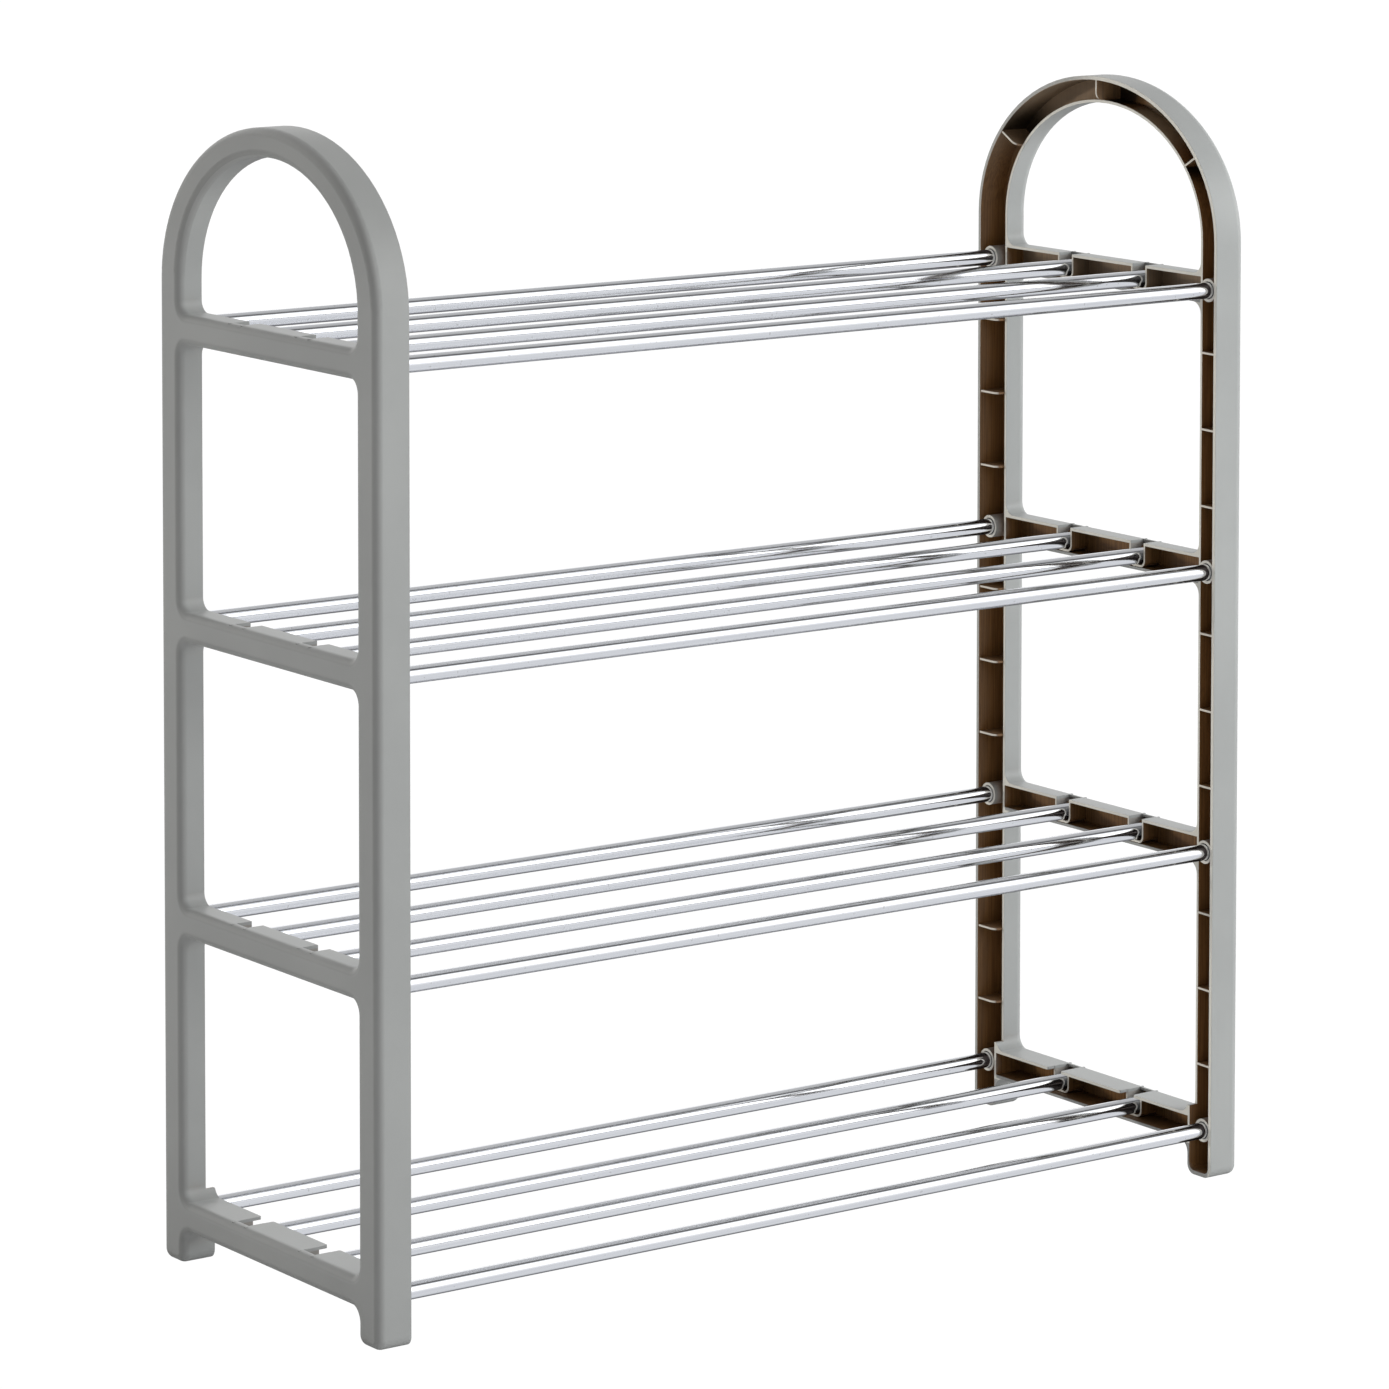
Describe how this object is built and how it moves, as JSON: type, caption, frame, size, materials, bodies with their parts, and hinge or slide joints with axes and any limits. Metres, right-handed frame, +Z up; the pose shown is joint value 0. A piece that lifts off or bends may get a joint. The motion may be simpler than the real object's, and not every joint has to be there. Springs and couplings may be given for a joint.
{
  "type": "tiered shoe rack",
  "caption": "Free-standing open shoe rack: two arched moulded side frames joined by tiers of horizontal chromed tubes.",
  "frame": {"origin": "on the floor plane under the middle of the rack, where the bounding box's bottom face is centred", "axes": "+Z up, +X along the tubes from the left side frame to the right one, -Y towards the front of the rack"},
  "size_m": [0.6264, 0.236, 0.6745],
  "materials": {
    "side_frames": "moulded warm grey plastic, satin",
    "tubes": "bright chromed steel tube"
  },
  "bodies": {
    "root": {"side_frame_left": "side_frames", "side_frame_right": "side_frames", "tier_1_tube_back": "tubes", "tier_1_tube_mid_back": "tubes", "tier_1_tube_mid_front": "tubes", "tier_1_tube_front": "tubes", "tier_2_tube_back": "tubes", "tier_2_tube_mid_back": "tubes", "tier_2_tube_mid_front": "tubes", "tier_2_tube_front": "tubes", "tier_3_tube_back": "tubes", "tier_3_tube_mid_back": "tubes", "tier_3_tube_mid_front": "tubes", "tier_3_tube_front": "tubes", "tier_4_tube_back": "tubes", "tier_4_tube_mid_back": "tubes", "tier_4_tube_mid_front": "tubes", "tier_4_tube_front": "tubes"}
  },
  "joints": []
}
